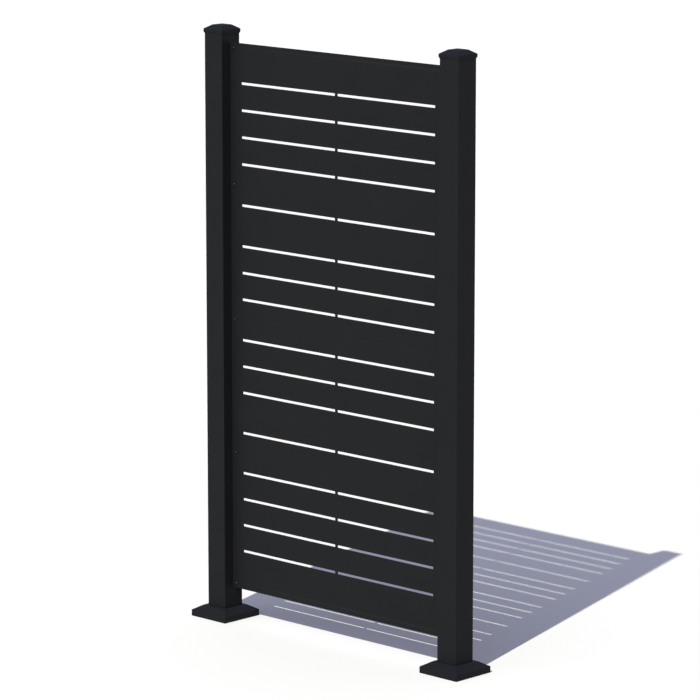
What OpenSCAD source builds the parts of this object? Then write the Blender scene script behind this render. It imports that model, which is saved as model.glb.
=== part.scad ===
// Garden privacy screen: a slotted sheet panel between two square posts.
// Each post stands on a screwed base plate under a loose skirt and carries a crowned cap.
// Millimetres. Origin on the ground midway between the posts, +X along the panel to the
// right as seen from the front, -Y towards the viewer, +Z up.

/* [Posts] */
// Outside width of the square post tube
post_side = 76.2; // [66:0.1:90]
// Wall of the post tube
post_wall = 2; // [1.5:0.1:3]
// Outside corner radius of the post tube
post_corner_r = 1; // [0.4:0.1:1.4]
// Length of post that stands above the panel's top edge
post_above_panel = 24.8; // [12:0.1:120]
// Wall of the four screw ports that run up the post's inner corners
port_wall = 2.4; // [1.8:0.1:3]
// Width of each port's mouth, which opens towards the post's middle
port_mouth = 2.4; // [1.6:0.1:3]
// How far each port's ring is sunk into the two walls of its corner
port_sink = 0.8; // [0.4:0.1:1.2]

/* [Panel] */
// Width of the slotted sheet
panel_w = 914.4; // [700:0.1:1200]
// Thickness of the slotted sheet
panel_t = 2; // [1.4:0.1:3.6]
// How far the back of the sheet lies in front of the posts' middle
panel_forward = 1; // [0:0.1:3]
// Gap between each side edge of the sheet and its post
panel_gap = 1; // [0.4:0.1:3]
// Height of the sheet's bottom edge above the ground
panel_z = 100.6; // [92:0.1:200]
// Corner radius of the sheet
panel_corner_r = 2; // [1:0.1:5]

/* [Boards and slots] */
// Height of a wide board between two slot rows
wide_board = 121.2; // [100:0.1:140]
// Height of a narrow board between two slot rows
narrow_board = 76.5; // [60:0.1:90]
// Boards from the bottom edge to the top edge, true for a wide one
board_is_wide = [true, false, false, false, true, true, false, false, true,
                 false, false, true, true, false, false, false, true];
// Height of a slot
slot_h = 7.7; // [5:0.1:12]
// Sheet left between each side edge and the end of the slots
slot_margin = 49.2; // [40:0.1:80]
// Width of the bridge between the left and right slots of a row
bridge_w = 10.8; // [6:0.1:40]
// Corner radius of a slot
slot_corner_r = 1.5; // [0.5:0.1:2.4]

/* [Stiffening beads] */
// Width of the bead pressed along the top and the bottom board
bead_w = 6; // [4:0.1:9]
// Rise of these beads above the sheet's front
bead_rise = 0.8; // [0.4:0.1:1.4]
// Distance from the sheet's top or bottom edge to the middle of the bead
bead_inset = 16; // [10:0.1:24]
// Width of the fine bead at mid height
mid_bead_w = 3; // [2:0.1:5]
// Rise of the fine bead
mid_bead_rise = 0.4; // [0.2:0.1:0.8]
// Plain sheet left between each side edge and the end of a bead
bead_end_margin = 34; // [26:0.1:60]

/* [Mounting angles] */
// Width of the leg behind the sheet
angle_face_w = 32; // [26:0.1:40]
// Width of the leg on the post
angle_side_w = 25; // [20:0.1:33]
// Thickness of both legs
angle_t = 2.5; // [1.5:0.1:3]
// Fillet between the legs
angle_fillet_r = 2; // [0.5:0.1:2.5]
// How far each end of the angle stops short of the sheet's end
angle_end_inset = 8; // [5:0.1:9]

/* [Panel screws] */
// Screws down each side of the sheet
panel_screws = 5; // [3:1:9]
// Distance of the screws from the sheet's side edge
panel_screw_inset = 18; // [15:0.1:19]
// Distance of the end screws from the sheet's top or bottom edge
panel_screw_end = 15.8; // [14.6:0.1:17]
// Thread of the panel screws
panel_screw_d = 4; // [3.5:0.1:4.4]
// Length of the panel screws under the head
panel_screw_len = 14; // [13.4:0.1:20]
// Diameter of the pan head
panel_head_d = 7; // [6.6:0.1:8.4]
// Height of the pan head
panel_head_h = 4.2; // [3.8:0.1:4.6]
// Straight side of the pan head below its dome
panel_head_edge_h = 1; // [0.8:0.1:1.4]
// Outside diameter of the nylon washer
washer_d = 9; // [8.6:0.1:10.5]
// Thickness of the nylon washer
washer_t = 1; // [0.5:0.1:1.5]
// Width across the flats of the flange nut
nut_flats = 7; // [6.4:0.1:8]
// Height of the flange nut
nut_h = 4.6; // [3.8:0.1:5.6]
// Diameter of the nut's flange
nut_flange_d = 10; // [9.4:0.1:11.4]
// Thickness of the nut's flange
nut_flange_t = 1.2; // [0.8:0.1:1.8]

/* [Angle screws] */
// Screws from each angle into its post
angle_screws = 6; // [3:1:10]
// Distance of the end screws from the angle's ends
angle_screw_end = 52; // [30:0.1:90]
// Distance of the screws behind the sheet
angle_screw_y = 14; // [12:0.1:16]
// Thread of the angle screws
angle_screw_d = 4.6; // [4:0.1:5.2]
// Length of the angle screws under the head
angle_screw_len = 16; // [10:0.1:22]
// Diameter of the angle screws' pan head
angle_head_d = 9; // [7.8:0.1:10]
// Height of that head
angle_head_h = 3; // [2.2:0.1:3.6]
// Straight side of that head below its dome
angle_head_edge_h = 1.5; // [0.8:0.1:1.8]

/* [Base plates] */
// Side of the square base plate
plate_side = 127; // [122:0.1:134]
// Thickness of the base plate
plate_t = 8; // [6:0.1:10]
// Corner radius of the base plate
plate_corner_r = 6; // [2:0.1:10]
// Distance between the anchor holes, both ways
anchor_spacing = 101.6; // [98:0.1:106]
// Diameter of the anchor holes
anchor_hole_d = 10.5; // [8:0.1:12]
// Thread of the four screws that hold the post on its plate
base_screw_d = 5.8; // [5:0.1:6.4]
// Length of these screws with their flush heads
base_screw_len = 34; // [26:0.1:50]
// Diameter of their countersunk heads
base_head_d = 11.4; // [10:0.1:12.5]
// How far these heads lie above the plate's underside
base_head_sink = 0.3; // [0.1:0.1:0.6]

/* [Skirts] */
// Side of the square skirt at the ground
skirt_side = 152.4; // [148:0.1:180]
// Height of the skirt's upright plinth
skirt_plinth_h = 19.6; // [17:0.1:24]
// Side of the skirt's flat top
skirt_top_side = 97.6; // [94:0.1:104]
// Height of the skirt
skirt_h = 35.8; // [33:0.1:44]
// Wall of the skirt
skirt_wall = 2; // [1:0.1:2.6]
// Gap between the skirt and each face of the post
skirt_clearance = 0.8; // [0.5:0.1:1.5]

/* [Caps] */
// How much wider the cap's upright rim is than the post
cap_rim_extra = 5.8; // [3:0.1:12]
// Height of the flare from the post out to the rim
cap_flare_h = 6; // [4:0.1:12]
// Height of the upright rim
cap_rim_h = 8.4; // [4:0.1:14]
// Height of the four steep slopes above the rim
cap_slope_h = 12.6; // [8:0.1:20]
// How far the slopes come in from the rim on each side
cap_slope_run = 19.6; // [14:0.1:24]
// Rise of the shallow crown above the slopes
cap_crown_h = 2; // [0.5:0.1:5]
// Wall of the cap
cap_wall = 2.5; // [1.8:0.1:3]
// Length of the four tongues that grip inside the post
cap_tongue_len = 28; // [16:0.1:45]
// Thickness of a tongue
cap_tongue_t = 2; // [1.4:0.1:2.6]
// Gap between a tongue and the post's inner face
cap_tongue_gap = 0.3; // [0.2:0.1:0.5]
// Gap between a tongue's edge and the nearest screw port
cap_tongue_port_gap = 4; // [2:0.1:8]
// Radius of the two grip ribs on each tongue
grip_rib_r = 0.9; // [0.6:0.1:1.2]

/* [Fits] */
// Play round a thread in the hole that it cuts or screws into
thread_fit = 0.05; // [0.02:0.01:0.1]
// Play round a screw in a hole that it only passes through
through_play = 0.35; // [0.2:0.05:0.6]
// Play between a countersunk head and its seat
head_play = 0.1; // [0.05:0.05:0.2]
// Depth of the drive recess in a screw head
recess_depth = 1.6; // [1:0.1:2]
// Width of the arms of a cross recess
recess_arm = 1.1; // [0.8:0.1:1.5]
// Width across a cross recess, or across the flats of a hex recess
recess_width = 4; // [3:0.1:4.6]

/* [Hidden] */
$fn = 48;

// Overrun of every cut past the face that it opens
cut = 1;
// Sides of a hexagon
hex_sides = 6;

// Heights of the boards and of the whole sheet
boards = [for (wide = board_is_wide) wide ? wide_board : narrow_board];
rows = len(boards) - 1;
function sum_to(list, n) = n < 0 ? 0 : list[n] + sum_to(list, n - 1);
panel_h = sum_to(boards, rows) + rows * slot_h;
panel_top = panel_z + panel_h;

// Middle of slot row n above the sheet's bottom edge
function slot_z(n) = sum_to(boards, n) + n * slot_h + slot_h / 2;
slot_len = (panel_w - bridge_w) / 2 - slot_margin;
slot_x = (bridge_w + slot_len) / 2;

// Posts
post_x = panel_w / 2 + panel_gap + post_side / 2;
post_half = post_side / 2;
post_inner_half = post_half - post_wall;
post_bottom = plate_t;
post_top = panel_top + post_above_panel;
port_hole_r = base_screw_d / 2 + thread_fit;
port_r = port_hole_r + port_wall;
port_offset = post_inner_half - port_r + port_sink;

// Mounting angles, measured from the post's inner face
angle_z = panel_z + angle_end_inset;
angle_len = panel_h - 2 * angle_end_inset;
post_face_x = -post_x + post_half;

// Panel screws, nuts and washers
panel_screw_x = -panel_w / 2 + panel_screw_inset;
panel_screw_pitch = (panel_h - 2 * panel_screw_end) / (panel_screws - 1);
panel_screw_zs = [for (n = [0:panel_screws - 1]) panel_z + panel_screw_end + n * panel_screw_pitch];
panel_hole_r = panel_screw_d / 2 + through_play;

// Angle screws
angle_screw_pitch = (angle_len - 2 * angle_screw_end) / (angle_screws - 1);
angle_screw_zs = [for (n = [0:angle_screws - 1]) angle_z + angle_screw_end + n * angle_screw_pitch];

// Skirt: tangent of its slope, and the drop from its outer slope to its inner one
skirt_half = skirt_side / 2;
skirt_top_half = skirt_top_side / 2;
skirt_tan = (skirt_h - skirt_plinth_h) / (skirt_half - skirt_top_half);
skirt_drop = skirt_wall * sqrt(1 + pow(skirt_tan, 2));
skirt_inner_half = skirt_half - skirt_wall;
skirt_inner_top = skirt_h - skirt_wall;

// Cap: half widths and heights above the post's top end
cap_rim_half = post_half + cap_rim_extra / 2;
cap_rim_z = cap_flare_h + cap_rim_h;
cap_slope_z = cap_rim_z + cap_slope_h;
cap_top_half = cap_rim_half - cap_slope_run;
cap_tan = cap_slope_h / cap_slope_run;
cap_drop = cap_wall * sqrt(1 + pow(cap_tan, 2));
cap_tongue_half = post_inner_half - cap_tongue_gap;
cap_cavity_half = cap_tongue_half - cap_tongue_t;
cap_cavity_z = cap_slope_z - cap_wall;
cap_tongue_w = 2 * (port_offset - port_r - cap_tongue_port_gap);

// A rectangle with round corners, centred
module round_rect(w, h, r) {
  square([w - 2 * r, h], center = true);
  square([w, h - 2 * r], center = true);
  for (x = [-1, 1], y = [-1, 1])
    translate([x * (w / 2 - r), y * (h / 2 - r)]) circle(r);
}

// A solid with square level sets: the half profile's points are [half width, height]
module square_turned(half_profile) {
  other_half = [for (n = [len(half_profile) - 1:-1:0]) [-half_profile[n][0], half_profile[n][1]]];
  profile = concat(half_profile, other_half);
  reach = 2 * max([for (p = half_profile) p[0]]) + cut;
  intersection() {
    rotate([90, 0, 0]) linear_extrude(reach, center = true) polygon(profile);
    rotate([90, 0, 90]) linear_extrude(reach, center = true) polygon(profile);
  }
}

// Draws its children on the left side, or mirrored on the right
module on_side(side) {
  if (side == "left") children();
  else mirror([1, 0, 0]) children();
}

// Puts its children at the four corners of a square
module at_corners(offset) {
  for (x = [-1, 1], y = [-1, 1]) translate([x * offset, y * offset, 0]) children();
}

// A pan head on the plane z = 0, with a cross recess
module pan_head(d, h, edge_h) {
  rise = h - edge_h;
  dome_r = (pow(d / 2, 2) + pow(rise, 2)) / (2 * rise);
  difference() {
    rotate_extrude() {
      square([d / 2, edge_h]);
      intersection() {
        square([d / 2, h]);
        translate([0, h - dome_r]) circle(dome_r, $fn = 96);
      }
    }
    for (turn = [0, 90])
      rotate([0, 0, turn]) translate([0, 0, h - recess_depth + cut / 2])
        cube([recess_width, recess_arm, recess_depth + cut], center = true);
  }
}

// A pan head screw that points down from z = 0
module pan_screw(d, len, head_d, head_h, head_edge_h) {
  pan_head(head_d, head_h, head_edge_h);
  translate([0, 0, -len]) cylinder(d = d, h = len);
}

module post(side) {
  color([0.16, 0.16, 0.17])
    on_side(side) difference() {
      translate([-post_x, 0, post_bottom]) linear_extrude(post_top - post_bottom) post_outline();
      for (z = angle_screw_zs)
        translate([post_face_x - post_wall - cut, angle_screw_y - panel_forward, z])
          rotate([0, 90, 0]) cylinder(d = angle_screw_d + 2 * thread_fit, h = post_wall + 2 * cut);
    }
}

// The tube's wall with a screw port in each inner corner
module post_outline() {
  difference() {
    round_rect(post_side, post_side, post_corner_r);
    difference() {
      square(2 * post_inner_half, center = true);
      for (x = [-1, 1], y = [-1, 1]) translate([x * port_offset, y * port_offset]) circle(port_r);
    }
    for (x = [-1, 1], y = [-1, 1]) translate([x * port_offset, y * port_offset]) {
      circle(port_hole_r);
      rotate(atan2(-y, -x)) translate([0, -port_mouth / 2]) square([port_r + cut, port_mouth]);
    }
  }
}

module cap(side) {
  outer = [[post_half, 0], [cap_rim_half, cap_flare_h], [cap_rim_half, cap_rim_z],
           [cap_top_half, cap_slope_z], [0, cap_slope_z + cap_crown_h]];
  cavity = [[cap_cavity_half, -cut],
            [cap_cavity_half, cap_rim_z + (cap_rim_half - cap_cavity_half) * cap_tan - cap_drop],
            [cap_top_half - (cap_drop - cap_wall) / cap_tan, cap_cavity_z],
            [0, cap_cavity_z + cap_crown_h]];
  color([0.17, 0.17, 0.18])
    on_side(side) translate([-post_x, 0, post_top]) {
      difference() {
        square_turned(outer);
        square_turned(cavity);
      }
      for (turn = [0:90:270]) rotate([0, 0, turn]) cap_tongue();
    }
}

// One tongue on the +X side, tied into the ring above it, with two upright grip ribs
module cap_tongue() {
  root = cap_flare_h / 2;
  translate([cap_cavity_half, -cap_tongue_w / 2, -cap_tongue_len])
    cube([cap_tongue_t, cap_tongue_w, cap_tongue_len + root]);
  for (y = [-1, 1])
    translate([post_inner_half - grip_rib_r, y * cap_tongue_w / 4, -cap_tongue_len])
      cylinder(r = grip_rib_r, h = cap_tongue_len);
}

module skirt(side) {
  outer = [[skirt_half, 0], [skirt_half, skirt_plinth_h], [skirt_top_half, skirt_h]];
  inner = [[skirt_inner_half, -cut],
           [skirt_inner_half, skirt_plinth_h + skirt_wall * skirt_tan - skirt_drop],
           [skirt_top_half - (skirt_drop - skirt_wall) / skirt_tan, skirt_inner_top]];
  hole = post_side + 2 * skirt_clearance;
  color([0.18, 0.18, 0.19])
    on_side(side) translate([-post_x, 0, 0]) difference() {
      square_turned(outer);
      square_turned(inner);
      translate([-hole / 2, -hole / 2, -cut]) cube([hole, hole, skirt_h + 2 * cut]);
    }
}

module base_plate(side) {
  color([0.2, 0.2, 0.21])
    on_side(side) translate([-post_x, 0, 0]) difference() {
      linear_extrude(plate_t) round_rect(plate_side, plate_side, plate_corner_r);
      at_corners(anchor_spacing / 2) translate([0, 0, -cut])
        cylinder(d = anchor_hole_d, h = plate_t + 2 * cut);
      at_corners(port_offset) {
        translate([0, 0, -cut]) cylinder(r = base_screw_d / 2 + through_play, h = plate_t + 2 * cut);
        base_head_seat();
      }
    }
}

// The countersink in the plate's underside, with play round the head
module base_head_seat() {
  r = base_head_d / 2 + head_play;
  rotate_extrude() polygon([[0, -cut], [r, -cut], [r, base_head_sink], [0, r + base_head_sink]]);
}

module base_screws(side) {
  r = base_screw_d / 2;
  head_r = base_head_d / 2;
  color([0.62, 0.63, 0.65])
    on_side(side) translate([-post_x, 0, base_head_sink]) at_corners(port_offset) difference() {
      rotate_extrude()
        polygon([[0, 0], [head_r, 0], [r, head_r - r], [r, base_screw_len], [0, base_screw_len]]);
      translate([0, 0, -cut])
        cylinder(d = recess_width / cos(180 / hex_sides), h = recess_depth + cut, $fn = hex_sides);
    }
}

module slotted_panel() {
  color([0.16, 0.16, 0.17])
    translate([0, -panel_forward, 0]) difference() {
      union() {
        rotate([90, 0, 0]) linear_extrude(panel_t) panel_outline();
        beads(-panel_t);
      }
      beads(0);
    }
}

// The sheet seen from the front, with its slots and screw holes
module panel_outline() {
  difference() {
    translate([0, panel_z + panel_h / 2]) round_rect(panel_w, panel_h, panel_corner_r);
    for (n = [0:rows - 1], side = [-1, 1])
      translate([side * slot_x, panel_z + slot_z(n)]) round_rect(slot_len, slot_h, slot_corner_r);
    for (z = panel_screw_zs, side = [-1, 1]) translate([side * panel_screw_x, z]) circle(panel_hole_r);
  }
}

// The three beads, each a low rounded ridge that stands in front of the plane y
module beads(y) {
  translate([0, y, panel_z + bead_inset]) bead(bead_w, bead_rise);
  translate([0, y, panel_z + panel_h / 2]) bead(mid_bead_w, mid_bead_rise);
  translate([0, y, panel_top - bead_inset]) bead(bead_w, bead_rise);
}

// A ridge along X whose section is a circle's segment of the given width and rise
module bead(w, rise) {
  r = (pow(w / 2, 2) + pow(rise, 2)) / (2 * rise);
  len = panel_w - 2 * bead_end_margin;
  rotate([90, 0, 90]) linear_extrude(len, center = true) intersection() {
    translate([r - rise, 0]) circle(r, $fn = 96);
    translate([-w, -w]) square([w, 2 * w]);
  }
}

module angle(side) {
  color([0.2, 0.2, 0.21])
    on_side(side) translate([0, -panel_forward, 0]) difference() {
      translate([post_face_x, 0, angle_z]) linear_extrude(angle_len) angle_outline();
      for (z = panel_screw_zs)
        translate([panel_screw_x, angle_t + cut, z]) rotate([90, 0, 0])
          cylinder(r = panel_hole_r, h = angle_t + 2 * cut);
      for (z = angle_screw_zs)
        translate([post_face_x - cut, angle_screw_y, z]) rotate([0, 90, 0])
          cylinder(d = angle_screw_d + 2 * thread_fit, h = angle_t + 2 * cut);
    }
}

// The two legs and the fillet between them
module angle_outline() {
  square([angle_face_w, angle_t]);
  square([angle_t, angle_side_w]);
  translate([angle_t, angle_t]) difference() {
    square(angle_fillet_r);
    translate([angle_fillet_r, angle_fillet_r]) circle(angle_fillet_r);
  }
}

module panel_screw_set(side) {
  color([0.3, 0.3, 0.31])
    on_side(side) for (z = panel_screw_zs)
      translate([panel_screw_x, -panel_forward - panel_t - washer_t, z]) rotate([90, 0, 0])
        pan_screw(panel_screw_d, panel_screw_len, panel_head_d, panel_head_h, panel_head_edge_h);
}

module panel_washer_set(side) {
  color([0.08, 0.08, 0.08])
    on_side(side) for (z = panel_screw_zs)
      translate([panel_screw_x, -panel_forward - panel_t, z]) rotate([90, 0, 0]) difference() {
        cylinder(d = washer_d, h = washer_t);
        translate([0, 0, -cut]) cylinder(r = panel_hole_r, h = washer_t + 2 * cut);
      }
}

module panel_nut_set(side) {
  color([0.6, 0.61, 0.63])
    on_side(side) for (z = panel_screw_zs)
      translate([panel_screw_x, angle_t - panel_forward, z]) rotate([-90, 0, 0]) difference() {
        union() {
          cylinder(d = nut_flange_d, h = nut_flange_t);
          cylinder(d = nut_flats / cos(180 / hex_sides), h = nut_h, $fn = hex_sides);
        }
        translate([0, 0, -cut]) cylinder(d = panel_screw_d + 2 * thread_fit, h = nut_h + 2 * cut);
      }
}

module angle_screw_set(side) {
  color([0.3, 0.3, 0.31])
    on_side(side) for (z = angle_screw_zs)
      translate([post_face_x + angle_t, angle_screw_y - panel_forward, z]) rotate([0, 90, 0])
        pan_screw(angle_screw_d, angle_screw_len, angle_head_d, angle_head_h, angle_head_edge_h);
}

post("left");  // left_post
post("right");  // right_post
cap("left");  // left_cap
cap("right");  // right_cap
skirt("left");  // left_skirt
skirt("right");  // right_skirt
base_plate("left");  // left_base_plate
base_plate("right");  // right_base_plate
base_screws("left");  // left_base_screws
base_screws("right");  // right_base_screws
slotted_panel();
angle("left");  // left_angle
angle("right");  // right_angle
panel_screw_set("left");  // left_panel_screws
panel_screw_set("right");  // right_panel_screws
panel_washer_set("left");  // left_panel_washers
panel_washer_set("right");  // right_panel_washers
panel_nut_set("left");  // left_panel_nuts
panel_nut_set("right");  // right_panel_nuts
angle_screw_set("left");  // left_angle_screws
angle_screw_set("right");  // right_angle_screws
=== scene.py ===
"""Garden privacy screen: its finishes, its rounded and pressed shapes, its light and its camera."""
import math

import bmesh
import bpy
import numpy as np
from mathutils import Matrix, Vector
from mathutils.geometry import tessellate_polygon


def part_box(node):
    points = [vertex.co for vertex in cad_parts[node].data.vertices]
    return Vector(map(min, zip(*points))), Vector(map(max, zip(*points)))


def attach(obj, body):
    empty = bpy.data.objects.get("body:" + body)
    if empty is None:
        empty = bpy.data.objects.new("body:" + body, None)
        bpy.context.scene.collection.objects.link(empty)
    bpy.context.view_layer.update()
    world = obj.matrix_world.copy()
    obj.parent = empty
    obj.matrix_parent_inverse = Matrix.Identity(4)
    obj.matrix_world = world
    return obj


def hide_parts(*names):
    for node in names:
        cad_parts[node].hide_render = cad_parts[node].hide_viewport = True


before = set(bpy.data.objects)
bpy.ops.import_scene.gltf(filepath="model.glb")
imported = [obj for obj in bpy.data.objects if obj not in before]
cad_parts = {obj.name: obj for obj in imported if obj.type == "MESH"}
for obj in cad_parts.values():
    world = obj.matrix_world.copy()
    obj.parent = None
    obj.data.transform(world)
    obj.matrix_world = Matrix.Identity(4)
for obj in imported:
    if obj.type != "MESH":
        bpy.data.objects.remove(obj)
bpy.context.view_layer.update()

MM = 0.001
SIDES = ("left", "right")
weld_distance = 0.002 * MM
closest_lines = 0.01 * MM
line_decimals = 8
nearly_straight = math.radians(89.5)

# Boxes of the frame's pieces, on the right where there are two
post_low, post_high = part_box("right_post")
cap_low, cap_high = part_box("right_cap")
skirt_low, skirt_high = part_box("right_skirt")
sheet_low, sheet_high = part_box("slotted_panel")
screw_low, screw_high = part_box("right_panel_screws")
washer_low, washer_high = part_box("right_panel_washers")
nut_low, nut_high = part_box("right_panel_nuts")
angle_screw_low, angle_screw_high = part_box("right_angle_screws")

# Post tube
post_half = (post_high.x - post_low.x) / 2
post_x = (post_high.x + post_low.x) / 2
post_wall = 2.0 * MM
post_corner_r = 1.0 * MM
port_hole_r = 2.95 * MM
port_wall = 2.4 * MM
port_mouth = 2.4 * MM
port_sink = 0.8 * MM
port_ring_steps = 10
port_hole_steps = 20

# Slotted sheet, with the washers on its front
sheet_half_w = sheet_high.x
sheet_h = sheet_high.z - sheet_low.z
sheet_back = sheet_high.y
sheet_front = washer_high.y
sheet_corner_r = 2.0 * MM
sheet_edge_r = 0.4 * MM
wide_board = 121.2 * MM
narrow_board = 76.5 * MM
board_is_wide = (1, 0, 0, 0, 1, 1, 0, 0, 1, 0, 0, 1, 1, 0, 0, 0, 1)
slot_h = 7.7 * MM
slot_margin = 49.2 * MM
bridge_w = 10.8 * MM
slot_corner_r = 1.5 * MM
screw_hole_r = 2.35 * MM
outline_corner_steps = 7
lip_steps = 5

# Beads pressed into the sheet, each as its middle's height, its width and its rise
bead_w = 6.0 * MM
bead_rise = 0.8 * MM
bead_inset = 16.0 * MM
mid_bead_w = 3.0 * MM
mid_bead_rise = 0.4 * MM
bead_end_margin = 34.0 * MM
bead_fade = 6.0 * MM
bead_lines = 11
bead_end_lines = 5
beads = [(sheet_low.z + bead_inset, bead_w, bead_rise),
         (sheet_low.z + sheet_h / 2, mid_bead_w, mid_bead_rise),
         (sheet_high.z - bead_inset, bead_w, bead_rise)]

# Panel screws, washers and nuts
panel_screws = 5
screw_x = (screw_low.x + screw_high.x) / 2
panel_head_r = (screw_high.x - screw_low.x) / 2
panel_head_h = 4.2 * MM
panel_head_edge_h = 1.0 * MM
panel_thread_r = 2.0 * MM
panel_screw_len = screw_high.y - washer_low.y
threaded_len = 8.0 * MM
washer_r = (washer_high.x - washer_low.x) / 2
washer_t = washer_high.y - washer_low.y
washer_edge_radii = (0.25 * MM, 0.3 * MM, 0.2 * MM, 0.2 * MM)
nut_apothem = 3.5 * MM
nut_h = nut_high.y - nut_low.y
nut_flange_r = (nut_high.x - nut_low.x) / 2
nut_flange_t = 1.2 * MM
nut_flange_edge_share = 0.6
nut_cone_share = 1.35
nut_hexagon_share = 1.2
nut_shoulder = 0.55 * MM
nut_top_share = 0.96
nut_chamfer = 0.35 * MM
nut_play = 0.05 * MM
nut_edge_radii = (0.15 * MM, 0.3 * MM, 0.2 * MM, 0.1 * MM, 0.15 * MM, 0, 0, 0)

# Screws from the angles into the posts
angle_screws = 6
angle_head_r = 4.5 * MM
angle_head_h = 3.0 * MM
angle_head_edge_h = 1.5 * MM
angle_thread_r = 2.3 * MM
angle_screw_len = 16.0 * MM
angle_screw_x = angle_screw_high.x - angle_screw_len
angle_screw_y = (angle_screw_low.y + angle_screw_high.y) / 2

# Cross recess and thread that all screws have
recess_depth = 1.6 * MM
recess_half_arm = 0.55 * MM
recess_half_width = 2.0 * MM
recess_edge = 0.12 * MM
recess_taper_share = 0.35
recess_reach_share = 1.3
dome_start_share = 1.5
dome_end_share = 0.97
recess_rings = 22
dome_rings = 6
head_edge_radii = (0.2 * MM, 0.25 * MM, 0.15 * MM)
neck_len = 0.6 * MM
shank_rows = 4
thread_pitch = 0.8 * MM
thread_depth = 0.5 * MM
thread_rows_a_turn = 7
tip_len = 0.5 * MM
tip_draft = 0.25 * MM
tip_share = 0.7

# Caps, with heights from the post's top end
cap_rim_half = (cap_high.x - cap_low.x) / 2
cap_flare_h = 6.0 * MM
cap_rim_z = 14.4 * MM
cap_crown_h = 2.0 * MM
cap_slope_z = cap_high.z - post_high.z - cap_crown_h
cap_top_half = 21.4 * MM
cap_wall = 2.5 * MM
cap_tongue_gap = 0.3 * MM
cap_tongue_t = 2.0 * MM
cap_tongue_len = post_high.z - cap_low.z
cap_tongue_w = 44.4 * MM
grip_rib_r = 0.9 * MM
grip_rib_steps = 20
cap_edge_r = 1.0 * MM
cap_crown_edge_r = 4.0 * MM
cap_rim_edge_r = 1.5 * MM
cap_foot_edge_r = 0.3 * MM

# Skirts
skirt_half = (skirt_high.x - skirt_low.x) / 2
skirt_plinth_h = 19.6 * MM
skirt_top_half = 48.8 * MM
skirt_h = skirt_high.z - skirt_low.z
skirt_wall = 2.0 * MM
skirt_hole_half = 38.9 * MM
skirt_edge_r = 1.0 * MM
skirt_foot_edge_r = 0.4 * MM
skirt_top_edge_r = 1.5 * MM
skirt_hole_edge_r = 0.5 * MM
skirt_hole_foot_edge_r = 0.3 * MM

# Colours of the finishes, linear
coat = (0.0130, 0.0137, 0.0158)
cap_dye = (0.0135, 0.0143, 0.0166)
screw_dye = (0.008, 0.0085, 0.0092)
# Painted highlight colour for the beads' crests
painted_highlight_coat = (0.0195, 0.0204, 0.0228)
# Painted sky reflection: bluish colours for what faces up, which also serve as the dust streaked near the
# ground
painted_sky_and_dust = (0.0113, 0.0127, 0.0200)
cap_painted_sky_and_dust = (0.0088, 0.0116, 0.0224)
screw_painted_sky_and_dust = (0.006, 0.0065, 0.008)
zinc_dull = (0.42, 0.43, 0.45, 1)
zinc_bright = (0.62, 0.63, 0.66, 1)
# Washer tones darkened past the nylon's own black, painting the shade round the screw heads
nylon_dark_painted_shade = (0.003, 0.003, 0.003, 1)
nylon_pale_painted_shade = (0.006, 0.006, 0.0065, 1)

# Powder coats: sheen, cloudiness, share of painted sky reflection and dust, relief, specular level
tube_finish = (0.52, 0.10, 0.5, 0.03 * MM, 0.05)
panel_finish = (0.52, 0.12, 0.5, 0.03 * MM, 0.05)
angle_finish = (0.5, 0.10, 0.5, 0.03 * MM, 0.05)
cap_finish = (0.55, 0.12, 0.6, 0.04 * MM, 0.04)
skirt_finish = (0.55, 0.12, 0.6, 0.04 * MM, 0.05)
screw_finish = (0.18, 0.05, 0.2, 0.005 * MM, 0.9)

# Noises of the finishes: waves a metre, detail, roughness
peel_noise = (420.0, 2.0, 0.5)
grain_noise = (1900.0, 2.0, 0.6)
cloud_noise = (9.0, 4.0, 0.55)
streak_noise = (60.0, 3.0, 0.5)
zinc_cloud_noise = (260.0, 3.0, 0.5)
zinc_grain_noise = (3000.0, 1.0, 0.5)
nylon_noise = (700.0, 2.0, 0.5)
noise_middle = 0.5

# Painted sky reflection on what faces up, dust near the ground, and cloudiness of the powder coat
streak_stretch = (1.0, 1.0, 0.12)
upward_from = 0.25
upward_to = 0.95
splash_reach = 0.22
upward_share_least = 0.55
upward_share_by_grain = 0.9
splash_fall = 2.0
splash_by_streak = 0.35
colour_by_cloud = 2.0
sheen_by_dust = 0.3
height_by_grain = 0.35

# Painted highlights along the beads' crests, their strengths from the lowest bead to the highest
bead_highlights = (0.65, 0.22, 0.85)
highlight_half_w = 6.5 * MM
highlight_left_share = 0.2

# Zinc and nylon
zinc_smooth = 0.28
zinc_rough = 0.5
zinc_relief_strength = 0.5
nylon_smooth = 0.45
nylon_rough = 0.6
nylon_specular = 0.05
nylon_relief_strength = 0.4
fine_relief = 0.02 * MM

# Light: the sun stands in front, a little to the right; the sky is a cool blue, brighter to the left
sun_azimuth = math.radians(17.5)
sun_elevation = math.radians(48.0)
sun_strength = 3.205
sun_colour = (1.0, 0.985, 0.845)
sun_angle = math.radians(0.53)
sky_colour = (0.74, 0.765, 1.0)
sky_strength = 0.335
sky_lean = Vector((-0.40, -0.32, 0.37))
floor_colour = (0.978, 0.978, 1.0)
floor_bounce = (0.72, 0.72, 0.72)
floor_roughness = 0.9
floor_radius = 60.0
floor_steps = 96

# Camera
camera_place = (8.406, -8.648, 3.216)
camera_tilt = math.radians(79.25)
camera_turn = math.radians(43.996)
camera_lens = 206.2
camera_sensor = 36.0
camera_far_end = 200.0


def arc(centre, radius, start, end, steps):
    """Points on a circle: centre plus radius times (cos t, sin t), with t evenly from start to end."""
    t = np.linspace(start, end, steps)
    return np.stack([centre[0] + radius * np.cos(t), centre[1] + radius * np.sin(t)], 1)


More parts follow.
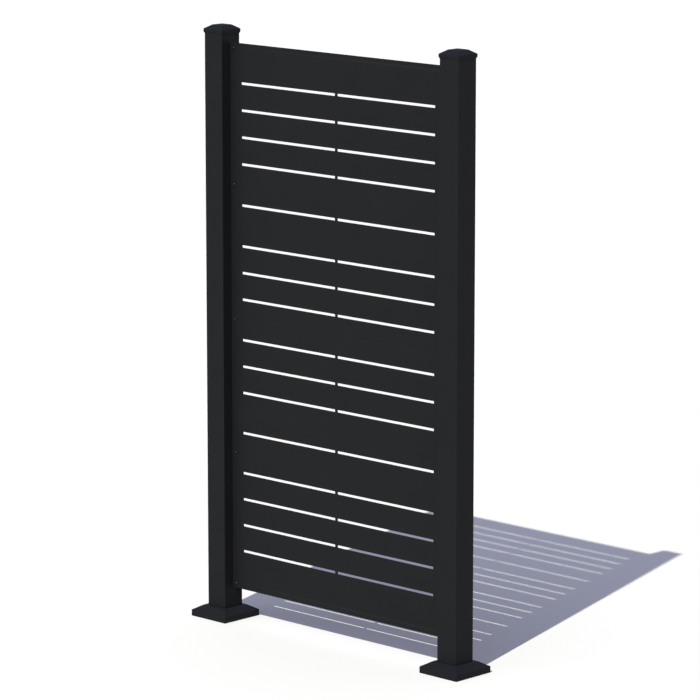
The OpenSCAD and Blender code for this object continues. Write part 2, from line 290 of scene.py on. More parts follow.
def rounded_path(points, radii, steps=5):
    """A polyline whose corners are arcs. A corner's arc touches both of its straight runs at radius times
    tan(half the turn) from the corner, and its centre lies on the corner's bisector."""
    points = np.asarray(points, float)
    path = [points[:1]]
    for before, corner, after, radius in zip(points, points[1:], points[2:], radii):
        back = (before - corner) / np.linalg.norm(before - corner)
        ahead = (after - corner) / np.linalg.norm(after - corner)
        half_angle = math.acos(np.clip(back @ ahead, -1, 1)) / 2
        if radius <= 0 or half_angle > nearly_straight:
            path.append(corner[None])
            continue
        bisector = (back + ahead) / np.linalg.norm(back + ahead)
        centre = corner + bisector * radius / math.sin(half_angle)
        first = corner + back * radius / math.tan(half_angle) - centre
        last = corner + ahead * radius / math.tan(half_angle) - centre
        start = math.atan2(first[1], first[0])
        turn = math.remainder(math.atan2(last[1], last[0]) - start, 2 * math.pi)
        path.append(arc(centre, radius, start, start + turn, steps))
    path.append(points[-1:])
    return np.concatenate(path)


def grid_faces(rows, columns, first=0, wrap_rows=False, wrap_columns=True):
    """Quads of a grid of rows times columns vertices, numbered row by row from first."""
    i = np.arange(rows if wrap_rows else rows - 1)
    j = np.arange(columns if wrap_columns else columns - 1)
    i, j = np.meshgrid(i, j, indexing="ij")
    i_next, j_next = (i + 1) % rows, (j + 1) % columns
    here, below = i * columns, i_next * columns
    quads = np.stack([here + j, here + j_next, below + j_next, below + j], -1)
    return quads.reshape(-1, 4) + first


def corner_turns(steps):
    """The angles of the four corner arcs, a row each, and the signs of the corners' x and y."""
    turns = np.linspace(0, math.pi / 2, steps) + np.arange(4)[:, None] * math.pi / 2
    return turns, np.array([1, -1, -1, 1])[:, None], np.array([1, 1, -1, -1])[:, None]


def turned(half_x, half_y, rows, corner, wrap=False, corner_steps=6):
    """A surface with rectangular rings: row v has the half widths half_x and half_y less its inset, at its
    height, and its corners are arcs of the corner radius, or less where the ring is smaller than that."""
    inset, height = np.asarray(rows, float).T
    hx, hy = np.maximum(half_x - inset, 0), np.maximum(half_y - inset, 0)
    r = np.minimum(corner, np.minimum(hx, hy))
    turn, sign_x, sign_y = corner_turns(corner_steps)
    x = (sign_x * (hx - r)[:, None, None] + r[:, None, None] * np.cos(turn)).reshape(len(r), -1)
    y = (sign_y * (hy - r)[:, None, None] + r[:, None, None] * np.sin(turn)).reshape(len(r), -1)
    z = np.broadcast_to(height[:, None], x.shape)
    return np.stack([x, y, z], -1), wrap


def round_turned(rows, wrap=False, steps=48):
    """A surface of revolution: row v is a circle of its radius at its height."""
    radius, height = np.asarray(rows, float).T
    t = np.linspace(0, 2 * math.pi, steps, endpoint=False)
    x = radius[:, None] * np.cos(t)
    y = radius[:, None] * np.sin(t)
    return np.stack([x, y, np.broadcast_to(height[:, None], x.shape)], -1), wrap


def placed(surface, x=0.0, y=0.0, z=0.0, axis="z", flip=False):
    """The surface with its z turned to the named axis, or against it if flip says so, and then moved."""
    grid, wrap = surface
    order = {"x": [2, 1, 0], "y": [0, 2, 1], "z": [0, 1, 2]}[axis]
    way = [-1.0 if flip and name == axis else 1.0 for name in "xyz"]
    return grid[..., order] * np.array(way) + np.array([x, y, z]), wrap


def make_piece(name, surfaces, slot, material, body, *nodes, smooth_below=40):
    """Joins surfaces into one mesh, merges their poles and seams, and turns their faces outwards. A surface
    is a grid of points and whether its rows close, or a list of points and its faces."""
    vertices, faces, first = [], [], 0
    for grid, wrap in surfaces:
        if grid.ndim == 3:
            faces += grid_faces(*grid.shape[:2], first, wrap_rows=wrap).tolist()
            grid = grid.reshape(-1, 3)
        else:
            faces += [[first + k for k in face] for face in wrap]
        vertices.append(grid)
        first += len(grid)
    mesh = bpy.data.meshes.new(name)
    mesh.from_pydata(np.concatenate(vertices).tolist(), [], faces)
    shape = bmesh.new()
    shape.from_mesh(mesh)
    bmesh.ops.remove_doubles(shape, verts=shape.verts, dist=weld_distance)
    bmesh.ops.recalc_face_normals(shape, faces=shape.faces)
    shape.to_mesh(mesh)
    shape.free()
    mesh.shade_smooth()
    mesh.set_sharp_from_angle(angle=math.radians(smooth_below))
    piece = bpy.data.objects.new(name, mesh)
    bpy.context.scene.collection.objects.link(piece)
    mesh.materials.append(material)
    shading = piece.modifiers.new("flat faces stay flat", "WEIGHTED_NORMAL")
    shading.keep_sharp = True
    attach(piece, body)
    if nodes:
        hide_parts(*nodes)
    return piece


def make_group(name, inputs, outputs):
    """A shader node group with these sockets, each a name and its type, and its own two ends."""
    group = bpy.data.node_groups.new(name, "ShaderNodeTree")
    for sockets, way in ((inputs, "INPUT"), (outputs, "OUTPUT")):
        for label, kind in sockets.items():
            group.interface.new_socket(label, in_out=way, socket_type="NodeSocket" + kind)
    return group, group.nodes.new("NodeGroupInput").outputs, group.nodes.new("NodeGroupOutput").inputs


def feed(tree, socket, value):
    """Gives a socket a link, if value is another node's output, or else value itself."""
    if isinstance(value, bpy.types.NodeSocket):
        tree.links.new(value, socket)
    else:
        socket.default_value = value


def add_node(tree, kind, settings=None, **inputs):
    """Adds a node. Settings are its own properties, and inputs are values or links by socket name, or by
    an underscore and the socket's number."""
    node = tree.nodes.new("ShaderNode" + kind)
    for key, value in (settings or {}).items():
        setattr(node, key, value)
    for key, value in inputs.items():
        label = key.replace("_", " ")
        feed(tree, node.inputs[int(key[1:])] if key[1:].isdigit() else node.inputs[label], value)
    return node


def math_node(tree, operation, *values, clamp=False):
    """The output of a Math node with these values or links."""
    node = add_node(tree, "Math", {"operation": operation, "use_clamp": clamp})
    for socket, value in zip(node.inputs, values):
        feed(tree, socket, value)
    return node.outputs[0]


def mixed_colour(tree, share, first, second):
    """The colour between first and second by share."""
    node = add_node(tree, "Mix", {"data_type": "RGBA"}, Factor=share, _6=first, _7=second)
    return node.outputs[2]


def smooth_share(tree, value, empty, full, most=1.0):
    """A share that rises smoothly from 0 where value is at empty to most where it is at full."""
    settings = {"interpolation_type": "SMOOTHSTEP"}
    node = add_node(tree, "MapRange", settings, Value=value, From_Min=empty, From_Max=full, To_Max=most)
    return node.outputs[0]


def seen_by_eye(tree):
    """1 for rays of the camera, of reflections and of transmission, and 0 for soft light on things."""
    ray = add_node(tree, "LightPath").outputs
    seen = math_node(tree, "ADD", ray["Is Camera Ray"], ray["Is Glossy Ray"])
    return math_node(tree, "ADD", seen, ray["Is Transmission Ray"], clamp=True)


def noise(tree, place, kind):
    """Soft noise from 0 to 1, of the waves a metre, the detail and the roughness that its kind gives."""
    scale, detail, roughness = kind
    node = add_node(tree, "TexNoise", None, Vector=place, Scale=scale, Detail=detail, Roughness=roughness)
    return node.outputs["Fac"]


def powder_coat_group():
    """Powder coat: a fine orange peel with a sandy grain on it, broad cloudiness in colour and sheen, a
    painted bluish sky reflection on what faces up, and streaks of dust near the ground."""
    group, given, result = make_group(
        "powder_coat",
        {"Place": "Vector", "Coat": "Color", "Painted sky and dust": "Color", "Sheen": "Float", "Cloudiness": "Float",
         "Painted sky and dust share": "Float"},
        {"Color": "Color", "Roughness": "Float", "Height": "Float"})
    place = given["Place"]
    peel = noise(group, place, peel_noise)
    grain = noise(group, place, grain_noise)
    cloud = noise(group, place, cloud_noise)
    stretched = add_node(group, "Mapping", None, Vector=place, Scale=streak_stretch).outputs[0]
    streak = noise(group, stretched, streak_noise)
    normal = add_node(group, "NewGeometry").outputs["Normal"]
    facing = add_node(group, "SeparateXYZ", None, Vector=normal).outputs["Z"]
    # What faces up is mixed towards a painted bluish sky reflection; low down, streaks of dust mix in the
    # same colour
    upward = smooth_share(group, facing, upward_from, upward_to)
    height = add_node(group, "SeparateXYZ", None, Vector=place).outputs["Z"]
    low = add_node(group, "MapRange", None, Value=height, From_Min=splash_reach, From_Max=0.0).outputs[0]
    grainy = math_node(group, "MULTIPLY", grain, upward_share_by_grain)
    upward_sky_and_dust = math_node(group, "MULTIPLY", upward, math_node(group, "ADD", upward_share_least, grainy))
    streaky = math_node(group, "MULTIPLY", streak, splash_by_streak)
    splashed = math_node(group, "MULTIPLY", math_node(group, "POWER", low, splash_fall), streaky)
    sky_and_dust = math_node(group, "ADD", upward_sky_and_dust, splashed)
    sky_and_dust = math_node(group, "MULTIPLY", sky_and_dust, given["Painted sky and dust share"], clamp=True)
    uneven = math_node(group, "SUBTRACT", cloud, noise_middle)
    uneven = math_node(group, "MULTIPLY", uneven, given["Cloudiness"])
    value = math_node(group, "ADD", 1.0, math_node(group, "MULTIPLY", uneven, colour_by_cloud))
    clouded = add_node(group, "HueSaturation", None, Color=given["Coat"], Value=value).outputs[0]
    group.links.new(mixed_colour(group, sky_and_dust, clouded, given["Painted sky and dust"]), result["Color"])
    sheen = math_node(group, "ADD", given["Sheen"], uneven)
    dulled = math_node(group, "MULTIPLY", sky_and_dust, sheen_by_dust)
    sheen = math_node(group, "ADD", sheen, dulled, clamp=True)
    group.links.new(sheen, result["Roughness"])
    relief = math_node(group, "ADD", peel, math_node(group, "MULTIPLY", grain, height_by_grain))
    group.links.new(relief, result["Height"])
    return group


def new_material(name):
    """A new node material, its node tree, its shader and the object's own coordinates."""
    material = bpy.data.materials.new(name)
    material.use_nodes = True
    tree = material.node_tree
    shader = tree.nodes["Principled BSDF"]
    place = add_node(tree, "TexCoord").outputs["Object"]
    return material, tree, shader, place


def add_relief(tree, shader, strength, distance, height):
    """Gives the shader a bump of this height in metres."""
    bump = add_node(tree, "Bump", None, Strength=strength, Distance=distance, Height=height)
    tree.links.new(bump.outputs[0], shader.inputs["Normal"])


def powder_coat(name, dye, painted_sky_and_dust_colour, finish):
    """A powder coat as the powder_coat group gives it. Its finish is its sheen, cloudiness, share of
    painted sky reflection and dust, relief in metres and specular level."""
    sheen, cloudiness, sky_and_dust, relief, specular = finish
    material, tree, shader, place = new_material(name)
    effect = tree.nodes.new("ShaderNodeGroup")
    effect.node_tree = coat_effect
    given = {"Place": place, "Coat": (*dye, 1), "Painted sky and dust": (*painted_sky_and_dust_colour, 1), "Sheen": sheen,
             "Cloudiness": cloudiness, "Painted sky and dust share": sky_and_dust}
    for label, value in given.items():
        feed(tree, effect.inputs[label], value)
    tree.links.new(effect.outputs["Color"], shader.inputs["Base Color"])
    tree.links.new(effect.outputs["Roughness"], shader.inputs["Roughness"])
    add_relief(tree, shader, 1.0, relief, effect.outputs["Height"])
    shader.inputs["Specular IOR Level"].default_value = specular
    return material


def paint_bead_highlights(material):
    """Paints the coat paler along each bead's crest as a painted highlight. The share is the bead's own
    highlight strength, times a smooth fall from the crest out to the highlight's half width, times a rise
    from the sheet's left edge to its right, where the painted highlight is strongest."""
    tree = material.node_tree
    effect = next(node for node in tree.nodes if node.type == "GROUP")
    place = effect.inputs["Place"].links[0].from_socket
    place = add_node(tree, "SeparateXYZ", None, Vector=place).outputs
    share = 0.0
    for (middle, _, _), highlight in zip(beads, bead_highlights):
        away = math_node(tree, "ABSOLUTE", math_node(tree, "SUBTRACT", place["Z"], middle))
        near = smooth_share(tree, away, highlight_half_w, 0.0, highlight)
        share = math_node(tree, "ADD", near, share)
    along = add_node(tree, "MapRange", None, Value=place["X"], From_Min=-sheet_half_w,
                     From_Max=sheet_half_w, To_Min=highlight_left_share, To_Max=1.0).outputs[0]
    share = math_node(tree, "MULTIPLY", share, along, clamp=True)
    colour = mixed_colour(tree, share, (*coat, 1), (*painted_highlight_coat, 1))
    tree.links.new(colour, effect.inputs["Coat"])


def zinc_plating(name):
    """Bright zinc on steel: a pale metal with cloudy roughness and a fine grain."""
    material, tree, shader, place = new_material(name)
    cloud = noise(tree, place, zinc_cloud_noise)
    tree.links.new(mixed_colour(tree, cloud, zinc_dull, zinc_bright), shader.inputs["Base Color"])
    rough = add_node(tree, "MapRange", None, Value=cloud, To_Min=zinc_smooth, To_Max=zinc_rough)
    tree.links.new(rough.outputs[0], shader.inputs["Roughness"])
    shader.inputs["Metallic"].default_value = 1.0
    grain = noise(tree, place, zinc_grain_noise)
    add_relief(tree, shader, zinc_relief_strength, fine_relief, grain)
    return material


def nylon(name):
    """Black moulded nylon: nearly smooth, with a faint mottle, its colour darkened past the nylon's own
    black as painted shade round the screw heads.
    """
    material, tree, shader, place = new_material(name)
    mottle = noise(tree, place, nylon_noise)
    tree.links.new(mixed_colour(tree, mottle, nylon_dark_painted_shade, nylon_pale_painted_shade), shader.inputs["Base Color"])
    rough = add_node(tree, "MapRange", None, Value=mottle, To_Min=nylon_smooth, To_Max=nylon_rough)
    tree.links.new(rough.outputs[0], shader.inputs["Roughness"])
    shader.inputs["Specular IOR Level"].default_value = nylon_specular
    add_relief(tree, shader, nylon_relief_strength, fine_relief, mottle)
    return material


def post_tube(side, sign):
    """The tube's outer and inner outlines carried from its foot to its top. The inner one runs round the
    four screw ports: each is a ring of arcs about its port's centre, open towards the tube's middle."""
    outer = turned(post_half, post_half, [(0, 0)], post_corner_r)[0][0, :, :2]
    inner_half = post_half - post_wall
    port_r = port_hole_r + port_wall
    offset = inner_half - port_r + port_sink
    reach = math.acos((inner_half - offset) / port_r)
    ring_mouth = math.asin(port_mouth / 2 / port_r)
    hole_mouth = math.asin(port_mouth / 2 / port_hole_r)
    inward = math.radians(-135)
    centre = (offset, offset)
    hole_end = inward + 2 * math.pi - hole_mouth
    corner = np.concatenate([
        arc(centre, port_r, -reach, inward + ring_mouth, port_ring_steps),
        arc(centre, port_hole_r, inward + hole_mouth, hole_end, port_hole_steps),
        arc(centre, port_r, inward - ring_mouth, -1.5 * math.pi + reach, port_ring_steps)])
    quarter = np.arange(4)[:, None] * math.pi / 2
    x, y = corner.T
    cos, sin = np.cos(quarter), np.sin(quarter)
    inner = np.stack([cos * x - sin * y, sin * x + cos * y], -1).reshape(-1, 2)
    loops = [outer, inner]
    flat = np.concatenate(loops)
    low, high = post_low.z, post_high.z
    vertices = np.concatenate([np.c_[flat, np.full(len(flat), z)] for z in (low, high)])
    vertices[:, 0] += sign * post_x
    outlines = [[Vector((*point, 0)) for point in loop] for loop in loops]
    end = [list(face) for face in tessellate_polygon(outlines)]
    walls, first = [], 0
    for loop in loops:
        here = first + np.arange(len(loop))
        there = first + (np.arange(len(loop)) + 1) % len(loop)
        walls += np.stack([here, there, there + len(flat), here + len(flat)], 1).tolist()
        first += len(loop)
    faces = end + [[k + len(flat) for k in face] for face in end] + walls
    return make_piece(side + "_post_tube", [(vertices, faces)], "post_coat", post_coat, "screen",
                      side + "_post")


def cap_shell(side, sign):
    """The cap's outer profile goes from its crown down to its foot and its inner one back up, as square
    rings. Four tongues with two grip ribs each hang from it into the post."""
    inner_half = post_half - post_wall
    tongue_half = inner_half - cap_tongue_gap
    cavity_half = tongue_half - cap_tongue_t
    rise = (cap_slope_z - cap_rim_z) / (cap_rim_half - cap_top_half)
    drop = cap_wall * math.hypot(1, rise)
    knee = cap_rim_z + (cap_rim_half - cavity_half) * rise - drop
    outline = [(0, cap_slope_z + cap_crown_h), (cap_top_half, cap_slope_z), (cap_rim_half, cap_rim_z),
               (cap_rim_half, cap_flare_h), (post_half, 0), (cavity_half, 0), (cavity_half, knee),
               (cap_top_half, cap_slope_z - cap_wall), (0, cap_slope_z + cap_crown_h - cap_wall)]
    soft = cap_foot_edge_r
    radii = [cap_crown_edge_r, cap_edge_r, cap_rim_edge_r, soft, soft, cap_edge_r, 0]
    half, height = rounded_path(outline, radii).T
    shell = np.stack([cap_rim_half - half, height], 1)
    surfaces = [turned(cap_rim_half, cap_rim_half, shell, post_corner_r)]
    tongue = [(cap_tongue_t, -cap_tongue_len), (soft, -cap_tongue_len), (0, soft - cap_tongue_len),
              (0, cap_flare_h / 2), (cap_tongue_t, cap_flare_h / 2)]
    rib = [(0, -cap_tongue_len), (grip_rib_r - soft, -cap_tongue_len), (grip_rib_r, soft - cap_tongue_len),
           (grip_rib_r, -soft), (0, 0)]
    for quarter in range(4):
        plate = turned(cap_tongue_t / 2, cap_tongue_w / 2, tongue, soft)
        parts = [placed(plate, x=tongue_half - cap_tongue_t / 2)]
        for y in (-cap_tongue_w / 4, cap_tongue_w / 4):
            parts.append(placed(round_turned(rib, steps=grip_rib_steps), x=inner_half - grip_rib_r, y=y))
        cos, sin = round(math.cos(quarter * math.pi / 2)), round(math.sin(quarter * math.pi / 2))
        turn = np.array([[cos, sin, 0], [-sin, cos, 0], [0, 0, 1]], float)
        surfaces += [(grid @ turn, wrap) for grid, wrap in parts]
    surfaces = [placed(s, x=sign * post_x, z=post_high.z) for s in surfaces]
    return make_piece(side + "_cast_cap", surfaces, "cap_casting", cap_coat, "screen", side + "_cap")


def skirt_shell(side, sign):
    """The skirt's section is one closed line, carried round as square rings: up the plinth, in along the
    slope, over the flat top, down at the post's hole and back along the inside."""
    rise = (skirt_h - skirt_plinth_h) / (skirt_half - skirt_top_half)
    drop = skirt_wall * math.hypot(1, rise)
    inner = skirt_half - skirt_wall
    outline = [(inner, 0), (skirt_half, 0), (skirt_half, skirt_plinth_h), (skirt_top_half, skirt_h),
               (skirt_hole_half, skirt_h), (skirt_hole_half, skirt_h - skirt_wall),
               (skirt_top_half - (drop - skirt_wall) / rise, skirt_h - skirt_wall),
               (inner, skirt_plinth_h + skirt_wall * rise - drop), (inner, 0)]
    radii = [skirt_foot_edge_r, skirt_edge_r, skirt_top_edge_r, skirt_hole_edge_r, skirt_hole_foot_edge_r,
             skirt_edge_r, skirt_edge_r]
    half, height = rounded_path(outline, radii)[:-1].T
    rings = np.stack([skirt_half - half, height], 1)
    surface = turned(skirt_half, skirt_half, rings, skirt_edge_r, wrap=True)
    return make_piece(side + "_post_skirt", [placed(surface, x=sign * post_x)], "skirt_coat", skirt_coat,
                      side + "_skirt", side + "_skirt")


def screw_places(node, count, radius):
    """Heights of a row of equal screws, from the lowest and the highest edge of their heads."""
    low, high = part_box(node)
    return np.linspace(low.z + radius, high.z - radius, count)


def pan_screw(head_r, head_h, edge_h, thread_r, length, steps=64):
    """A pan head with a cross recess, up from z = 0, on a threaded shank that points down. The head's
    height over a point falls by the recess depth where either arm of the cross covers it, and the thread's
    radius dips once a pitch, by the height and the turn together."""
    t = np.linspace(0, 2 * math.pi, steps, endpoint=False)
    rise = head_h - edge_h
    dome_r = (head_r ** 2 + rise ** 2) / (2 * rise)
    brim_r = head_r * dome_end_share
    near = np.linspace(0, recess_half_width * recess_reach_share, recess_rings)
    far = np.linspace(recess_half_width * dome_start_share, brim_r, dome_rings)
    radius = np.concatenate([near, far])[:, None]
    x, y = radius * np.cos(t), radius * np.sin(t)
    dome = head_h - dome_r + np.sqrt(dome_r ** 2 - x ** 2 - y ** 2)

    def inside(value, limit):
        return np.clip((limit - np.abs(value)) / recess_edge + 0.5, 0, 1)

    arms = np.maximum(inside(x, recess_half_width) * inside(y, recess_half_arm),
                      inside(y, recess_half_width) * inside(x, recess_half_arm))
    taper = 1 - recess_taper_share * np.hypot(x, y) / recess_half_width
    top = np.stack([x, y, dome - arms * recess_depth * np.clip(taper, 0, 1)], -1)
    shoulder = head_h - dome_r + math.sqrt(dome_r ** 2 - brim_r ** 2)
    edge = rounded_path([(brim_r, shoulder), (head_r, edge_h), (head_r, 0), (thread_r, 0),
                         (thread_r, -neck_len)], head_edge_radii)
    skirt = round_turned(edge, steps=steps)[0]
    z = np.linspace(-neck_len, threaded_len - length, shank_rows)
    shank = round_turned(np.stack([np.full(len(z), thread_r), z], 1), steps=steps)[0]
    thread_rows = int(threaded_len / thread_pitch * thread_rows_a_turn)
    z = np.linspace(threaded_len - length, tip_len - length, thread_rows)[:, None]
    wave = np.abs(((z / thread_pitch - t / (2 * math.pi)) % 1) * 2 - 1)
    from_tip = np.clip((z - z[-1]) / thread_pitch, 0, 1)
    from_shank = np.clip((z[0] - z) / thread_pitch, 0, 1)
    radius = thread_r - thread_depth * wave * (from_tip * from_shank) - tip_draft * (1 - from_tip)
    thread = np.stack([radius * np.cos(t), radius * np.sin(t), np.broadcast_to(z, radius.shape)], -1)
    tip = round_turned([(thread_r * tip_share, -length), (0, -length)], steps=steps)[0]
    return np.concatenate([top, skirt, shank, thread, tip]), False


def flange_nut(steps=96):
    """A hexagon on a round flange: at each turn the radius is the lesser of the row's own radius and the
    hexagon's, which is its apothem over the cosine of the angle to the nearest flat's middle."""
    bore = panel_thread_r + nut_play
    mouth = bore + nut_chamfer
    corner = nut_apothem / math.cos(math.pi / 6)
    outline = [(mouth, 0), (nut_flange_r, 0), (nut_flange_r, nut_flange_t * nut_flange_edge_share),
               (corner, nut_flange_t * nut_cone_share), (corner, nut_h - nut_shoulder),
               (nut_apothem * nut_top_share, nut_h), (mouth, nut_h), (bore, nut_h - nut_chamfer),
               (bore, nut_chamfer), (mouth, 0)]
    radius, height = rounded_path(outline, nut_edge_radii, steps=4)[:-1].T
    t = np.linspace(0, 2 * math.pi, steps, endpoint=False)
    flat = nut_apothem / np.cos((t + math.pi / 6) % (math.pi / 3) - math.pi / 6)
    radius, height = radius[:, None], height[:, None]
    on_hexagon = height > nut_flange_t * nut_hexagon_share
    radius = np.where(on_hexagon, np.minimum(radius, flat), radius)
    grid = np.stack([radius * np.cos(t), radius * np.sin(t), np.broadcast_to(height, radius.shape)], -1)
    return grid, True


def washer():
    """A flat ring with soft edges."""
    bore = screw_hole_r
    middle = (bore + washer_r) / 2
    outline = [(middle, 0), (washer_r, 0), (washer_r, washer_t), (bore, washer_t), (bore, 0), (middle, 0)]
    return round_turned(rounded_path(outline, washer_edge_radii)[:-1], wrap=True)


def sheet_openings():
    """The slots and the screw holes, each as its middle's x and z, its half sizes and its corner radius. A
    slot row's middle lies above the sheet's foot by the boards below it and the slots below it."""
    boards = np.where(np.array(board_is_wide) == 1, wide_board, narrow_board)
    slot_rows = np.cumsum(boards[:-1]) + slot_h * (np.arange(len(boards) - 1) + 0.5) + sheet_low.z
    slot_len = sheet_half_w - bridge_w / 2 - slot_margin
    slot_x = (bridge_w + slot_len) / 2
    screw_rows = screw_places("left_panel_screws", panel_screws, panel_head_r)
    slots = [(sign * slot_x, z, slot_len / 2, slot_h / 2, slot_corner_r)
             for z in slot_rows for sign in (-1, 1)]
    holes = [(sign * screw_x, z, screw_hole_r, screw_hole_r, screw_hole_r)
             for z in screw_rows for sign in (-1, 1)]
    return slots + holes


def outline_bounds(outline, offset):
    """The low and high x, the low and high z and the corner radius of an outline grown by the offset."""
    x, z, half_x, half_z, r = outline
    reach_x, reach_z = half_x + offset, half_z + offset
    return x - reach_x, x + reach_x, z - reach_z, z + reach_z, r + offset


def bead_height(x, z):
    """How far the sheet is pressed forwards at (x, z): for each bead its rise times a cosine bell across
    its width, times a smooth fade over its ends."""
    reach = sheet_half_w - bead_end_margin
    end = np.clip((reach - np.abs(x)) / bead_fade, 0, 1)
    end = end * end * (3 - 2 * end)
    total = np.zeros(np.broadcast(x, z).shape)
    for middle, width, rise in beads:
        across = np.clip(np.abs(z - middle) / (width / 2), 0, 1)
        total = total + rise * (0.5 + 0.5 * np.cos(math.pi * across)) * end
    return total


def lines(*groups):
    """Sorted grid lines, with those closer than a hundredth of a millimetre taken as one."""
    values = np.unique(np.round(np.concatenate([np.ravel(g) for g in groups]), line_decimals))
    return values[np.concatenate([[True], np.diff(values) > closest_lines])]


def outline_lines(low, high, radius):
    """The four grid lines of an outline each way: its two edges and the ends of its corner arcs."""
    return np.array([low, low + radius, high - radius, high])


def sheet_edge(outline, way):
    """The sheet's edge along an outline: a quarter round from the front, a straight wall and a quarter
    round to the back. Fans on both faces fill what is left between the grid and the corner arcs. Way is 1
    round an opening and -1 along the rim."""
    x, z, half_x, half_z, r = outline
    turn = np.linspace(0, math.pi / 2, lip_steps)
    lip = sheet_edge_r * (1 - np.sin(turn))
    lip_depth = sheet_edge_r * (1 - np.cos(turn))
    insets = -way * np.concatenate([lip, lip[::-1]])[:, None, None]
    depths = np.concatenate([sheet_front + lip_depth, sheet_back - lip_depth[::-1]])
    angles, sign_x, sign_z = corner_turns(outline_corner_steps)
    corner = r - insets
    wall_x = x + sign_x * (half_x - insets - corner) + corner * np.cos(angles)
    wall_z = z + sign_z * (half_z - insets - corner) + corner * np.sin(angles)
    wall_y = np.broadcast_to(depths[:, None, None], wall_x.shape)
    wall = np.stack([wall_x, wall_y, wall_z], -1)
    surfaces = [(wall.reshape(len(depths), -1, 3), False)]
    fan = [[0, n, n + 1] for n in range(1, outline_corner_steps)]
    for row in (0, -1):
        hub_inset = insets[row, 0, 0] if way > 0 else r
        hub_x = x + sign_x[:, 0] * (half_x - hub_inset)
        hub_z = z + sign_z[:, 0] * (half_z - hub_inset)
        for k in range(4):
            hub = [hub_x[k], depths[row], hub_z[k]]
            surfaces.append((np.concatenate([[hub], wall[row, k]]), fan))
    return surfaces


def slotted_sheet():
    """The sheet is a grid of quads on its front and on its back, left open at every slot, screw hole and
    rim corner, with an edge along each outline. The beads press both grids forwards."""
    openings = sheet_openings()
    rim = (0.0, sheet_low.z + sheet_h / 2, sheet_half_w, sheet_h / 2, sheet_corner_r)
    opening_bounds = [outline_bounds(opening, sheet_edge_r) for opening in openings]
    rim_bounds = outline_bounds(rim, -sheet_edge_r)
    x_lines, z_lines = [], []
    for x0, x1, z0, z1, r in [*opening_bounds, rim_bounds]:
        x_lines.append(outline_lines(x0, x1, r))
        z_lines.append(outline_lines(z0, z1, r))
    reach = sheet_half_w - bead_end_margin
    fade = np.linspace(reach - bead_fade, reach, bead_end_lines)
    x_lines += [fade, -fade]
    for middle, width, _ in beads:
        z_lines.append(middle + np.linspace(-width / 2, width / 2, bead_lines))
    xs, zs = lines(*x_lines), lines(*z_lines)

    middle_x, middle_z = np.meshgrid((xs[1:] + xs[:-1]) / 2, (zs[1:] + zs[:-1]) / 2, indexing="ij")
    kept = np.ones(middle_x.shape, bool)
    for x0, x1, z0, z1, _ in opening_bounds:
        kept &= ~((middle_x > x0) & (middle_x < x1) & (middle_z > z0) & (middle_z < z1))
    x0, x1, z0, z1, r = rim_bounds
    beside = (middle_x < x0 + r) | (middle_x > x1 - r)
    beyond = (middle_z < z0 + r) | (middle_z > z1 - r)
    kept &= ~(beside & beyond)

    grid_x, grid_z = np.meshgrid(xs, zs, indexing="ij")
    press = bead_height(grid_x, grid_z)
    quads = grid_faces(len(xs), len(zs), wrap_columns=False)[kept.ravel()].tolist()
    surfaces = []
    for depth in (sheet_front, sheet_back):
        points = np.stack([grid_x, depth - press, grid_z], -1).reshape(-1, 3)
        surfaces.append((points, quads))
    for opening in openings:
        surfaces += sheet_edge(opening, 1)
    surfaces += sheet_edge(rim, -1)
    return make_piece("slotted_sheet", surfaces, "panel_coat", panel_coat, "screen", "slotted_panel",
                      smooth_below=32)


def dress(node, material):
    """Gives a CAD node that keeps its own shape its finish."""
    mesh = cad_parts[node].data
    mesh.materials.clear()
    mesh.materials.append(material)


def make_camera():
    """The photograph's place and angle, through a long lens."""
    data = bpy.data.cameras.new("camera")
    data.lens = camera_lens
    data.sensor_width = camera_sensor
    data.clip_end = camera_far_end
    camera = bpy.data.objects.new("camera", data)
    camera.location = camera_place
    camera.rotation_euler = (camera_tilt, 0.0, camera_turn)
    bpy.context.scene.collection.objects.link(camera)
    bpy.context.scene.camera = camera


def make_light():
    """One sun, and a world that is a cool sky to soft light and white to the eye and in reflections."""
    data = bpy.data.lights.new("sun", "SUN")
    data.energy = sun_strength
    data.color = sun_colour
    data.angle = sun_angle
    sun = bpy.data.objects.new("sun", data)
    level, up = math.cos(sun_elevation), math.sin(sun_elevation)
    towards = Vector((math.sin(sun_azimuth) * level, -math.cos(sun_azimuth) * level, up))
    sun.rotation_euler = towards.to_track_quat("Z", "Y").to_euler()
    bpy.context.scene.collection.objects.link(sun)
    world = bpy.data.worlds.new("sky")
    world.use_nodes = True
    bpy.context.scene.world = world
    tree = world.node_tree
    sky = tree.nodes["Background"]
    sky.inputs["Color"].default_value = (*sky_colour, 1)
    direction = add_node(tree, "TexCoord").outputs["Generated"]
    lean = add_node(tree, "VectorMath", {"operation": "DOT_PRODUCT"}, _0=direction, _1=sky_lean)
    glow = math_node(tree, "MULTIPLY_ADD", lean.outputs["Value"], sky_strength, sky_strength)
    tree.links.new(glow, sky.inputs["Strength"])
    white = add_node(tree, "Background", None, Color=(1, 1, 1, 1), Strength=1.0)
    mix = add_node(tree, "MixShader", None, _0=seen_by_eye(tree), _1=sky.outputs[0], _2=white.outputs[0])
    tree.links.new(mix.outputs[0], tree.nodes["World Output"].inputs["Surface"])


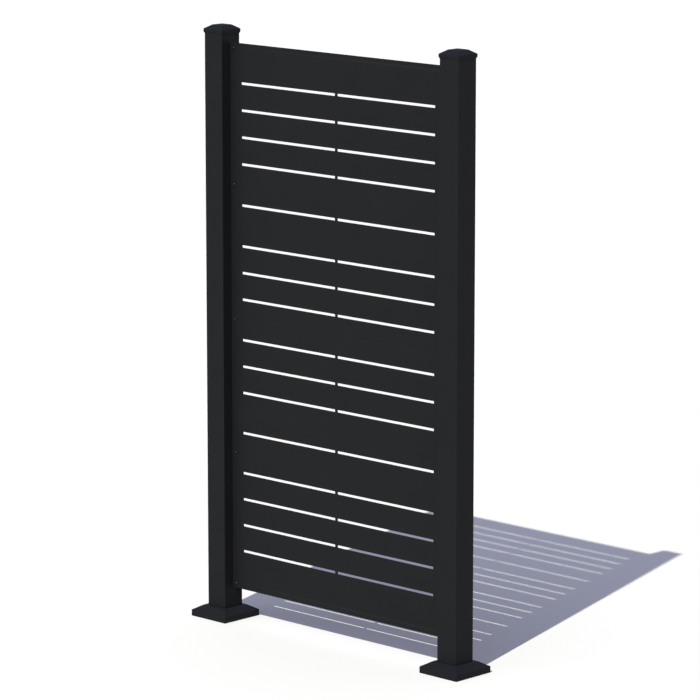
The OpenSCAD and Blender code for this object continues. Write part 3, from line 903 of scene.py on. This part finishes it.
def make_floor():
    """A wide round floor, one flat disc."""
    t = np.linspace(0, 2 * math.pi, floor_steps, endpoint=False)
    points = np.c_[floor_radius * np.cos(t), floor_radius * np.sin(t), np.zeros(len(t))]
    mesh = bpy.data.meshes.new("floor")
    mesh.from_pydata(points.tolist(), [], [list(range(len(t)))])
    floor = bpy.data.objects.new("floor", mesh)
    bpy.context.scene.collection.objects.link(floor)
    material, tree, shader, _ = new_material("pale_floor")
    colour = mixed_colour(tree, seen_by_eye(tree), (*floor_bounce, 1), (*floor_colour, 1))
    tree.links.new(colour, shader.inputs["Base Color"])
    shader.inputs["Roughness"].default_value = floor_roughness
    shader.inputs["Specular IOR Level"].default_value = 0.0
    mesh.materials.append(material)


bpy.context.scene.view_settings.view_transform = "Standard"
make_camera()
make_light()
make_floor()

coat_effect = powder_coat_group()
post_coat = powder_coat("post_powder_coat", coat, painted_sky_and_dust, tube_finish)
panel_coat = powder_coat("sheet_powder_coat", coat, painted_sky_and_dust, panel_finish)
paint_bead_highlights(panel_coat)
cap_coat = powder_coat("cap_powder_coat", cap_dye, cap_painted_sky_and_dust, cap_finish)
skirt_coat = powder_coat("skirt_powder_coat", coat, painted_sky_and_dust, skirt_finish)
angle_coat = powder_coat("angle_powder_coat", coat, painted_sky_and_dust, angle_finish)
screw_coat = powder_coat("screw_black", screw_dye, screw_painted_sky_and_dust, screw_finish)
zinc = zinc_plating("zinc_plating")
washer_nylon_painted_shade = nylon("washer_nylon_painted_shade")

panel_screw = pan_screw(panel_head_r, panel_head_h, panel_head_edge_h, panel_thread_r, panel_screw_len)
angle_screw = pan_screw(angle_head_r, angle_head_h, angle_head_edge_h, angle_thread_r, angle_screw_len)
ring = washer()
nut = flange_nut()

slotted_sheet()
for side, sign in zip(SIDES, (-1, 1)):
    post_tube(side, sign)
    cap_shell(side, sign)
    skirt_shell(side, sign)
    x = sign * screw_x
    rows = screw_places(side + "_panel_screws", panel_screws, panel_head_r)
    make_piece(side + "_sheet_screws",
               [placed(panel_screw, x, washer_low.y, z, "y", flip=True) for z in rows],
               "black_screws", screw_coat, "screen", side + "_panel_screws")
    make_piece(side + "_sheet_washers", [placed(ring, x, washer_low.y, z, "y") for z in rows],
               "nylon", washer_nylon_painted_shade, "screen", side + "_panel_washers")
    make_piece(side + "_sheet_nuts", [placed(nut, x, nut_low.y, z, "y") for z in rows],
               "zinc_steel", zinc, "screen", side + "_panel_nuts")
    x = sign * angle_screw_x
    rows = screw_places(side + "_angle_screws", angle_screws, angle_head_r)
    make_piece(side + "_post_screws",
               [placed(angle_screw, x, angle_screw_y, z, "x", flip=sign > 0) for z in rows],
               "black_screws", screw_coat, "screen", side + "_angle_screws")
    dress(side + "_angle", angle_coat)
    dress(side + "_base_plate", angle_coat)
    dress(side + "_base_screws", zinc)
